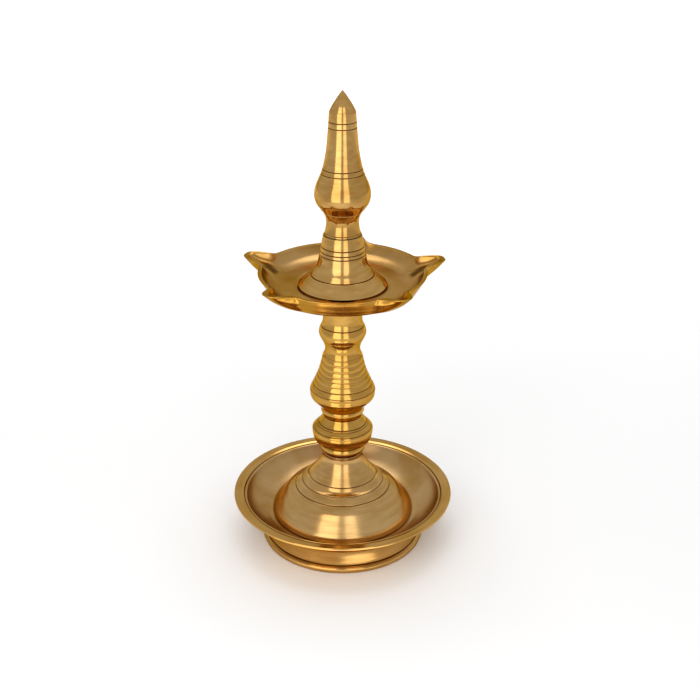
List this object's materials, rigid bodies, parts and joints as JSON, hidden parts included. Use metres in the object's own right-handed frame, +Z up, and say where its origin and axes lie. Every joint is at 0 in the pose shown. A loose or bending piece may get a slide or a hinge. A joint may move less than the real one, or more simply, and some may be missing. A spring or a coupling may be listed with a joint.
{
  "type": "standing oil lamp",
  "caption": "Turned brass standing oil lamp (samai) with a drip dish, a knopped stem, a shallow spouted oil bowl and a pointed spire.",
  "frame": {"origin": "on the lamp's axis, in the plane of the foot's resting face", "axes": "+Z up along the lamp's axis, the front towards -Y"},
  "size_m": [0.1472, 0.1472, 0.305],
  "materials": {
    "brass": "polished, lathe turned",
    "steel": "zinc plated",
    "leather": "oiled"
  },
  "bodies": {
    "base": {"base_dish": "brass", "base_dome": "brass", "base_stud": "steel", "base_washer": "steel", "base_nut": "steel"},
    "stem_riser": {"stem_washer": "leather"},
    "stem": {"lower_knob": "brass", "ribbed_bell": "brass", "upper_knob": "brass", "bowl_seat_washer": "leather"},
    "bowl": {"oil_bowl": "brass"},
    "column_riser": {"bowl_seal_washer": "leather"},
    "column": {"spire_column": "brass"},
    "finial_riser": {"spire_washer": "leather"},
    "finial": {"spire_finial": "brass"}
  },
  "joints": [
    {"name": "stem_lift", "type": "slide", "parent": "base", "child": "stem_riser", "axis": [0, 0, 1], "range_m": [0, 0.0105]},
    {"name": "stem_turn", "type": "hinge", "parent": "stem_riser", "child": "stem", "pos_m": [0, 0, 0.0638], "axis": [0, 0, 1], "range_deg": [0, 2520]},
    {"name": "bowl_turn", "type": "hinge", "parent": "stem", "child": "bowl", "pos_m": [0, 0, 0.1674], "axis": [0, 0, 1], "continuous": true},
    {"name": "column_lift", "type": "slide", "parent": "stem", "child": "column_riser", "axis": [0, 0, 1], "range_m": [0, 0.014]},
    {"name": "column_turn", "type": "hinge", "parent": "column_riser", "child": "column", "pos_m": [0, 0, 0.1823], "axis": [0, 0, 1], "range_deg": [0, 2520]},
    {"name": "finial_lift", "type": "slide", "parent": "column", "child": "finial_riser", "axis": [0, 0, 1], "range_m": [0, 0.012]},
    {"name": "finial_turn", "type": "hinge", "parent": "finial_riser", "child": "finial", "pos_m": [0, 0, 0.2157], "axis": [0, 0, 1], "range_deg": [0, 2160]}
  ],
  "couplings": [
    {"joint": "stem_lift", "follows": "stem_turn", "m_per_rad": 0.00023873},
    {"joint": "column_lift", "follows": "column_turn", "m_per_rad": 0.00031831},
    {"joint": "finial_lift", "follows": "finial_turn", "m_per_rad": 0.00031831}
  ]
}
